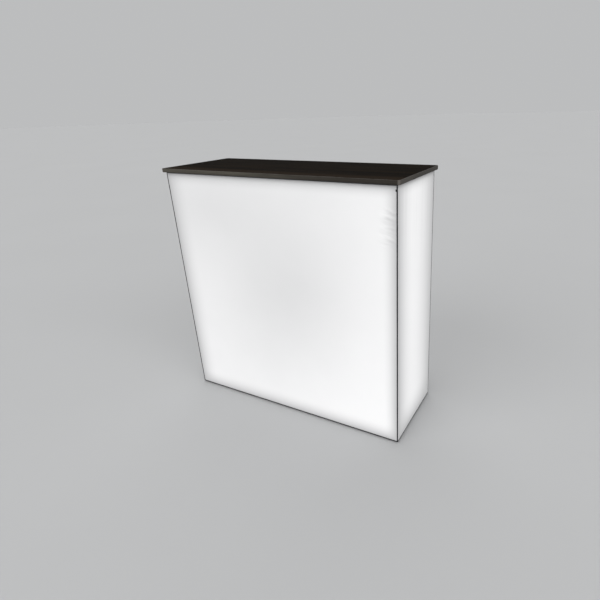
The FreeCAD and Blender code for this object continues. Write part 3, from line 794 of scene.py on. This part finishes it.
def streak_marks(s, upward):
    """Faint upright streaks in the upper part of a short face."""
    marks = s.swing(s.noise(1.0, streak_stretch), streak_shade)
    return s.times(marks, s.span(upward, *streak_levels))


def crease_marks(s, across, upward):
    """Light and dark marks by the upper right corner of a long face."""
    waves = s.noise(1.0, crease_stretch, detail=2.0, bend=0.3, tilt=crease_tilt)
    start, full, fade, end = crease_levels
    zone = s.times(s.span(upward, start, full), s.span(upward, end, fade))
    near_edge = s.span(across, *crease_edge)
    return s.times(s.swing(waves, crease_shade), s.times(near_edge, zone))


def glowing_cloth(side):
    """Knitted cloth, lit through: dim where the frame backs its rim; painted shade under the worktop.

    It passes about half of the light, so its surface sends back only the other half.
    """
    origin, along, _, width, height = face_frame(side)
    s = Surface("cloth_" + side, Emission_Strength=1.0, Sheen_Weight=0.1, Specular_IOR_Level=0.2)
    parts = s.axes()
    axis = 0 if abs(along.x) > 0.5 else 1
    centre = origin + along * (width / 2) + Z * (height / 2)
    across = s.times(s.minus(parts[axis], centre[axis]), along[axis] * 2 / width)
    upward = s.times(s.minus(parts[2], centre.z), 2 / height)
    narrow = width < height / 2
    if narrow:
        reach, overhang_shade_depth, field = SHORT_RIMS, short_overhang_shade, glow_side
        marks = streak_marks(s, upward)
    else:
        reach, overhang_shade_depth, field = LONG_RIMS, long_overhang_shade, long_face_glow(s, (across, upward))
        marks = crease_marks(s, across, upward)
    side_rims = rim(s, across, width / 2, reach["left"], reach["right"])
    inside = s.times(side_rims, rim(s, upward, height / 2, reach["bottom"], reach["top"]))
    cloud = s.swing(s.noise(scale=5.0), cloud_shade)
    level = s.plus(field, s.plus(marks, cloud))
    glow = s.plus(glow_rim, s.times(inside, s.minus(level, glow_rim)))
    # Painted shade along the top, under the worktop's overhang: it dims the glow and darkens the
    # colour.
    overhang_shade_mask = s.span(upward, 1 - 2 * overhang_shade_height / height, 1.0, 0.0, overhang_shade_depth)
    glow = s.times(glow, s.minus(1.0, overhang_shade_mask))
    tint = s.node("ShaderNodeCombineColor", {0: glow, 1: glow, 2: glow}).outputs[0]
    s.put(s.shader.inputs["Emission Color"], tint)

    knit = s.noise(1400.0, (1, 1, 0.35), detail=2.0)
    dark, light = shades(fabric_colour, spread=0.03)
    # The painted shade under the overhang darkens the knit's colour towards black.
    s.colour(s.blend(overhang_shade_mask, s.blend(knit, dark, light), BLACK))
    s.roughness(knit, 0.8, 0.92)
    return s.relief(knit, 0.05 * MM, strength=0.35)


def pull_tab(side):
    """A folded ribbon that comes up out of the groove and lies over the edge of the cloth."""
    origin, along, inward, width, _ = face_frame(side)
    low, high = tab_range(side)
    low += tab_inside
    high -= tab_inside
    points = []
    for k in range(tab_rows + 1):
        level = origin + Z * (low + (high - low) * k / tab_rows)
        for inset, depth in TAB_LINE:
            across = width - edge_inset - inset * MM
            points.append(level + along * across + inward * (depth * MM))
    faces = grid_faces(0, len(TAB_LINE), tab_rows + 1)
    made = Shape().add(points, faces).object(side + "_pull_tab")
    wall = made.modifiers.new("thickness", "SOLIDIFY")
    wall.thickness = tab_thickness
    wall.offset = 0
    smooth = made.modifiers.new("smooth", "SUBSURF")
    smooth.levels = smooth.render_levels = 2
    shade(made, angle=60)
    return made


def dress(made, body, surface):
    """Gives a piece its material and puts it under its body."""
    made.data.materials.clear()
    made.data.materials.append(surface.material)
    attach(made, body)


def dress_faces():
    """The four stretched faces and the folded ribbon by which each is pulled out."""
    for side in FACES:
        tab = pull_tab(side)
        dress(tab, "light_box", materials["ribbon"])
        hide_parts("pull_tabs")
        cloth, (width, height) = stretched_fabric(side)
        dress(cloth, "light_box", glowing_cloth(side))
        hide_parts(side + "_fabric")


# Small parts


def threaded(radius, root, pitch, low, high, sides):
    """A shaft with a helical thread that runs out at both ends."""
    rings = []
    count = round((high - low) / pitch * thread_steps)
    for j in range(count + 1):
        height = low + (high - low) * j / count
        run_out = min(1, (height - low) / pitch, (high - height) / pitch)
        ring = []
        for k in range(sides):
            turn = 2 * math.pi * k / sides
            phase = (height / pitch - k / sides) % 1
            ridge = 1 - abs(2 * phase - 1)
            reach = root + (radius - root) * min(1, thread_flank * ridge) * run_out
            ring.append((reach * math.cos(turn), reach * math.sin(turn), height))
        rings.append(ring)
    return rings_mesh(rings)


def pan_head(radius, height, shank_radius):
    """A domed head that stands on zero, over the start of its shank."""
    edge, step = 0.25 * MM, 15
    flat, crown, tip = 0.45, 0.55, 0.2
    dome = [(shank_radius, -shank_overlap), (radius - edge, 0), (radius, edge)]
    for k in range(1, 90 // step):
        turn = math.radians(step * k)
        reach = radius * (flat + crown * math.cos(turn))
        dome.append((reach, edge + (height - edge) * math.sin(turn)))
    dome.append((tip * radius, height))
    return lathe(dome, sides=40)


def cross_cutter(radius, height):
    """Two crossing wedges, wider upwards, that cut a recess into a head."""
    cutter = Shape()
    arm, half = 0.52 * radius, 0.13 * radius
    floor, mouth = (height * 0.2, arm * 0.45, half * 0.6), (height * 1.2, arm, half)
    for turn in (0, math.pi / 2):
        rings = []
        for level, reach, wide in (floor, mouth):
            ring = [(-reach, -wide), (reach, -wide), (reach, wide), (-reach, wide)]
            rings.append([(x, y, level) for x, y in ring])
        cutter.add(*rings_mesh(rings), Matrix.Rotation(turn, 4, "Z"))
    return cutter


def cross_screw(head_radius, head, shank_radius, length):
    """A pan-head screw with a cross recess: seat at zero, head up, shank down."""
    head_shape = Shape().add(*pan_head(head_radius, head, shank_radius))
    whole = Shape().add(*carve(head_shape, cross_cutter(head_radius, head)))
    root = shank_radius * 0.78
    whole.add(*threaded(shank_radius, root, screw_pitch, -length, -shank_overlap, sides=20))
    return whole.points, whole.faces


def set_screw(radius, length, key):
    """A grub screw: threaded, with a hexagon socket in its upper end."""
    root = radius * 0.83
    body = Shape().add(*threaded(radius, root, screw_pitch, 0, length, sides=20))
    floor, mouth = length * 0.6, length * 1.2
    hexagons = [circle(key / math.sqrt(3), level, sides=6) for level in (floor, mouth)]
    return carve(body, Shape().add(*rings_mesh(hexagons)))


def repeat(name, unit, places, body, slot, replaced, angle=35):
    """One mesh with a copy of the unit at each place, in the stead of a CAD node."""
    shape = Shape()
    for place in places:
        shape.add(*unit, place)
    made = shape.object(name)
    shade(made, angle)
    dress(made, body, materials[slot])
    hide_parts(replaced)


def outward_screws(node, name, slot, direction_of):
    """Replaces the screws of a node; direction_of gives the way each head faces."""
    boxes = part_boxes(node)
    outs = [direction_of((low + high) / 2) for low, high in boxes]
    axis = max(range(3), key=lambda k: abs(outs[0][k]))
    low, high = boxes[0]
    head = high[axis] - low[axis] - screw_shank
    head_radius = max((high[k] - low[k]) / 2 for k in range(3) if k != axis)
    places = []
    for (low, high), out in zip(boxes, outs):
        tip = (low + high) / 2 + out * ((high[axis] - low[axis]) / 2)
        places.append(facing(tip - out * head, out))
    unit = cross_screw(head_radius, head, screw_radius, screw_shank)
    repeat(name, unit, places, "light_box", slot, node)


def make_screws():
    """Cross-head screws of the service panel, the base panel and the driver."""
    outward_screws("service_panel_screws", "service_panel_cross_screws", "black_steel", lambda c: Y)
    outward_screws("base_panel_screws", "base_panel_cross_screws", "steel", lambda c: Z)
    case = sum(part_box("driver_case"), Vector()) / 2
    outward_screws("driver_screws", "driver_cross_screws", "steel", lambda c: X if c.x > case.x else -X)


def make_grub_screws():
    """Grub screws of the corner blocks, each with its socket towards the inside."""
    boxes = part_boxes("grub_screws")
    length = max(boxes[0][1] - boxes[0][0])
    places = []
    for low, high in boxes:
        size = high - low
        axis = max(range(3), key=lambda k: size[k])
        centre = (low + high) / 2
        out = Vector((0, 0, 0))
        out[axis] = 1.0 if centre[axis] < middle[axis] else -1.0
        places.append(facing(centre - out * (length / 2), out))
    unit = set_screw(grub_radius, length, grub_key)
    repeat("hex_grub_screws", unit, places, "light_box", "steel", "grub_screws")


def fluted(turn):
    """The wave that cuts flutes into the rim of a foot pad."""
    return 1 - flute_depth * max(0.0, math.cos(pad_flutes * turn)) ** 2


def fluted_pad(radius, height):
    """A foot pad with a ribbed sole, a fluted rim and a bore right through."""
    relief = 0.35 * MM
    sole = [
        (pad_bore + 0.4 * MM, relief), (0.52 * radius, relief), (0.56 * radius, 0), (0.68 * radius, 0),
        (0.71 * radius, relief), (0.76 * radius, relief), (0.80 * radius, 0),
    ]
    side = [
        (0.90 * radius, 0), (0.97 * radius, 0.25 * MM), (radius, 0.8 * MM), (radius, 0.62 * height),
        (0.97 * radius, 0.76 * height), (0.90 * radius, 0.82 * height),
    ]
    top = [
        (0.60 * radius, 0.86 * height), (0.48 * radius, height), (pad_bore + 0.3 * MM, height),
        (pad_bore, height - 0.3 * MM), (pad_bore, 2 * MM), (pad_bore + 0.4 * MM, 0.6 * MM),
    ]
    rings = []
    for levels, wave in ((sole, None), (side, fluted), (top, None)):
        rings += [circle(reach, level, pad_sides, wave) for reach, level in levels]
    return rings_mesh(rings, closed=True)


def make_feet():
    """Levelling feet: a fluted pad with a ribbed sole, and its threaded stud."""
    for corner in CORNERS:
        foot = "foot_" + corner
        low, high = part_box("foot_pad_" + corner)
        place = Matrix.Translation(((low.x + high.x) / 2, (low.y + high.y) / 2, 0))
        pad = fluted_pad((high.x - low.x) / 2, high.z - low.z)
        replaced = "foot_pad_" + corner
        repeat("fluted_pad_" + corner, pad, [place], foot, "foot_plastic", replaced, angle=40)
        low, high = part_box("foot_stud_" + corner)
        stud = threaded(stud_radius, stud_root, stud_pitch, low.z, high.z, sides=24)
        replaced = "foot_stud_" + corner
        repeat("threaded_stud_" + corner, stud, [place], foot, "steel", replaced, angle=50)


def make_pegs():
    """Turned pegs: a tapered end down, a shoulder at zero, a thinner shank up in the worktop."""
    boxes = part_boxes("worktop_pegs")
    foot = peg_shank - (boxes[0][1].z - boxes[0][0].z)
    profile = [
        (1.6 * MM, foot), (2.4 * MM, foot + 0.2 * MM), (3.6 * MM, foot + 1.2 * MM),
        (peg_radius, foot + 2.2 * MM), (peg_radius, -0.2 * MM), (3.8 * MM, 0),
        (peg_shank_radius, 0.01 * MM), (peg_shank_radius, peg_shank - 0.3 * MM), (2.6 * MM, peg_shank),
    ]
    places = []
    for low, high in boxes:
        centre = (low + high) / 2
        places.append(Matrix.Translation((centre.x, centre.y, high.z - peg_shank)))
    repeat("turned_pegs", lathe(profile, sides=36), places, "worktop", "steel", "worktop_pegs")


def make_optics():
    """A round lens over each diode: foot ring, then dome. Those on the base bars face up."""
    dome_radius, step = lens_radius * 0.9, 12.4
    profile = [(lens_radius, 0), (lens_radius, 0.7 * MM), (lens_radius * 0.93, lens_ring)]
    for k in range(1, 8):
        turn = math.radians(step * k)
        rise = (lens_height - lens_ring) * math.sin(turn)
        profile.append((dome_radius * math.cos(turn), lens_ring + rise))
    places = []
    for low, high in part_boxes("led_lenses"):
        centre = (low + high) / 2
        size = high - low
        if min(size.x, size.y) > 8.5 * MM and size.z < 5 * MM:
            out, half = Z, size.z / 2
        else:
            inward = middle - centre
            out = Vector((math.copysign(1, inward.x), math.copysign(1, inward.y), 0)).normalized()
            half = lens_height / 2
        places.append(facing(centre - out * half, out))
    unit = lathe(profile, sides=28)
    repeat("round_optics", unit, places, "light_box", "lens", "led_lenses", angle=30)


# Camera, stage and light


def make_camera():
    """The photograph's camera; its axis is off the middle of the frame, hence the shifts."""
    azimuth, pitch, roll = (math.radians(a) for a in (camera_azimuth, camera_pitch, camera_roll))
    level, drop = math.cos(pitch), math.sin(pitch)
    forward = Vector((-math.sin(azimuth) * level, math.cos(azimuth) * level, -drop))
    flat_right = Vector((math.cos(azimuth), math.sin(azimuth), 0))
    flat_up = flat_right.cross(forward)
    right = flat_right * math.cos(roll) + flat_up * math.sin(roll)
    up = flat_up * math.cos(roll) - flat_right * math.sin(roll)
    data = bpy.data.cameras.new("camera")
    data.sensor_width = sensor
    data.lens = focal_pixels / frame_pixels * sensor
    data.shift_x = 0.5 - axis_pixel[0] / frame_pixels
    data.shift_y = axis_pixel[1] / frame_pixels - 0.5
    camera = bpy.data.objects.new("camera", data)
    turn = Matrix((right, up, -forward)).transposed().to_4x4()
    camera.matrix_world = Matrix.Translation(camera_place) @ turn
    bpy.context.scene.collection.objects.link(camera)
    bpy.context.scene.camera = camera


def make_floor():
    """A round floor that runs out of sight."""
    points = [(0, 0, 0)]
    faces = []
    for radius in floor_rings:
        points += circle(radius, 0, floor_sides)
    for i in range(floor_sides):
        k = (i + 1) % floor_sides
        faces.append([0, 1 + i, 1 + k])
        for ring in range(len(floor_rings) - 1):
            a = 1 + ring * floor_sides
            faces.append([a + i, a + floor_sides + i, a + floor_sides + k, a + k])
    floor = Shape().add(points, faces).object("studio_floor")
    s = Surface("studio_floor", Specular_IOR_Level=0.0)
    dark, light = shades(floor_colour, spread=0.02)
    s.colour(s.blend(s.noise(scale=0.8, detail=4.0), dark, light))
    s.roughness(s.noise(scale=3.0), 0.85, 0.95)
    floor.data.materials.append(s.material)


def make_world():
    """An even pale room: one level lights the object, another is seen by eye, mirror and lens."""
    world = bpy.data.worlds.new("studio")
    bpy.context.scene.world = world
    world.use_nodes = True
    nodes = Nodes(world.node_tree)
    background = nodes.tree.nodes["Background"]
    background.inputs["Strength"].default_value = 1.0
    rays = nodes.node("ShaderNodeLightPath").outputs
    in_gloss = nodes.math("MAXIMUM", rays["Is Glossy Ray"], rays["Is Transmission Ray"])
    seen = nodes.math("MAXIMUM", rays["Is Camera Ray"], in_gloss)
    room = nodes.blend(seen, (sky_strength,) * 3, backdrop_colour)
    nodes.put(background.inputs["Color"], room)


def make_lamps():
    """Broad lamps so far away that they light the whole floor alike."""
    for name, (direction, strength) in LAMPS.items():
        data = bpy.data.lights.new(name, "SUN")
        data.energy = strength
        data.angle = lamp_spread
        lamp = bpy.data.objects.new(name, data)
        lamp.matrix_world = facing(direction, direction)
        bpy.context.scene.collection.objects.link(lamp)


# Each slot's colour, then its lowest and highest roughness
materials = {
    # The frame is coloured near black: painted shade on silver anodised aluminium.
    "frame_aluminium": metal("shaded_silver_frame", (0.035, 0.036, 0.04), 0.38, 0.52, (1, 1, 1), 300.0),
    "light_bar": metal("mill_aluminium", (0.72, 0.73, 0.75), 0.3, 0.45, (12, 12, 0.5)),
    "silicone": moulded("silicone", (0.78, 0.78, 0.76), 0.35, 0.5, 600.0, Subsurface_Weight=0.1),
    "ribbon": woven("ribbon", (0.018, 0.018, 0.018), pitch=0.7 * MM, depth=0.12 * MM),
    # The board is coloured far darker than its edge band: partly its own dark tone, partly painted
    # shade on the top.
    "laminate": laminate(
        "laminate_board", (0.002, 0.0014, 0.0009), (0.0118, 0.0077, 0.0042),
        pale=(0.0196, 0.0126, 0.0075), low=0.52, high=0.68, Specular_IOR_Level=0.004,
    ),
    "edge_band": edge_laminate(
        "laminate_edge", (0.045, 0.0405, 0.032), (0.085, 0.0775, 0.061),
        right_tone=(0.027, 0.0225, 0.0175), pale=(0.105, 0.095, 0.085), low=0.4, high=0.56,
        Specular_IOR_Level=0.2,
    ),
    "steel": cast("zinc_plate", (0.58, 0.59, 0.61), 0.22, 0.38, 300.0, 0.02 * MM),
    "die_cast": cast("die_cast", (0.5, 0.5, 0.51), 0.45, 0.62),
    "foot_plastic": moulded("foot_nylon", (0.02, 0.02, 0.021), 0.42, 0.58),
    "white_panel": coated("white_sheet", (0.8, 0.8, 0.79), 0.55, 0.75),
    "dark_panel": coated("dark_powder_coat", (0.045, 0.046, 0.05), 0.5, 0.68),
    "black_steel": cast("black_oxide", (0.06, 0.06, 0.062), 0.3, 0.45, 300.0, 0.02 * MM),
    "inlet_plastic": moulded("inlet_moulding", (0.025, 0.025, 0.026), 0.4, 0.55),
    "brass": cast("brass", (0.78, 0.6, 0.3), 0.18, 0.3, 260.0, 0.02 * MM),
    "rocker_plastic": moulded(
        "rocker_gloss", (0.02, 0.02, 0.02), 0.12, 0.22, 500.0, 0.01 * MM, Coat_Weight=0.4,
    ),
    "driver_case": coated("silver_paint", (0.62, 0.63, 0.64), 0.35, 0.5),
    "driver_cap": moulded("driver_cap", (0.08, 0.08, 0.082), 0.45, 0.6),
    "circuit_board": circuit("circuit_board"),
    "lens": lens_plastic("lens"),
    "mains_sheath": moulded("mains_sheath", (0.025, 0.025, 0.025), 0.45, 0.6),
    "lead_sheath": moulded("lead_sheath", (0.75, 0.75, 0.74), 0.4, 0.55),
    "clip_plastic": moulded("clip_nylon", (0.76, 0.76, 0.73), 0.4, 0.55),
}
for row in frame["record"]["subparts"]:
    if row["material_slot"] in materials:
        node_materials = frame["nodes"][row["node"]].data.materials
        node_materials.clear()
        node_materials.append(materials[row["material_slot"]].material)

make_camera()
make_floor()
make_world()
make_lamps()
dress_faces()
make_screws()
make_grub_screws()
make_feet()
make_pegs()
make_optics()
bpy.context.scene.view_settings.view_transform = "Standard"
